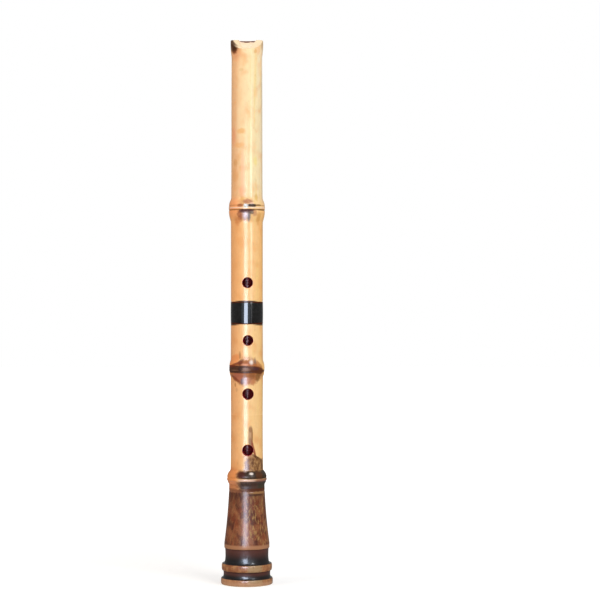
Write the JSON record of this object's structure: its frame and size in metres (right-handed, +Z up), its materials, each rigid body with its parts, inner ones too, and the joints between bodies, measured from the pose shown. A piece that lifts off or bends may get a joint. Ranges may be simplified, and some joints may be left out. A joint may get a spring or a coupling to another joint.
{
  "type": "end-blown bamboo flute",
  "caption": "End-blown bamboo flute with a flared root end, a notched blowing edge, finger holes and a tenon joint in the middle.",
  "frame": {"origin": "centre of the flat face of the root end, on which the flute stands", "axes": "+Z up along the bore to the mouth, -Y to the front, where the blowing edge and the front finger holes are, +X to the right seen from the front"},
  "size_m": [0.0518, 0.0518, 0.545],
  "materials": {
    "bamboo_lower": "lacquered bamboo, orange-brown, dark and mottled at the root end",
    "bamboo_upper": "lacquered bamboo, pale cream-yellow with orange-brown clouding",
    "bore_lacquer": "dark red gloss lacquer over ground paste",
    "joint_lacquer": "red-brown lacquered bamboo",
    "black_lacquer": "gloss black lacquer",
    "thread": "undyed linen thread, bonded",
    "inlay": "polished ivory-coloured horn"
  },
  "bodies": {
    "lower_half": {"lower_culm": "bamboo_lower", "lower_bore_lining": "bore_lacquer", "joint_socket_sleeve": "joint_lacquer", "lower_band_thread": "thread", "lower_joint_band": "black_lacquer"},
    "tenon": {"joint_tenon": "joint_lacquer"},
    "upper_half": {"upper_culm": "bamboo_upper", "upper_bore_lining": "bore_lacquer", "upper_band_thread": "thread", "upper_joint_band": "black_lacquer", "blowing_edge_inlay": "inlay"}
  },
  "joints": [
    {"name": "joint_pull", "type": "slide", "parent": "lower_half", "child": "tenon", "axis": [0, 0, 1], "range_m": [0, 0.035]},
    {"name": "joint_twist", "type": "hinge", "parent": "tenon", "child": "upper_half", "pos_m": [0, 0, 0.272], "axis": [0, 0, 1], "continuous": true}
  ]
}
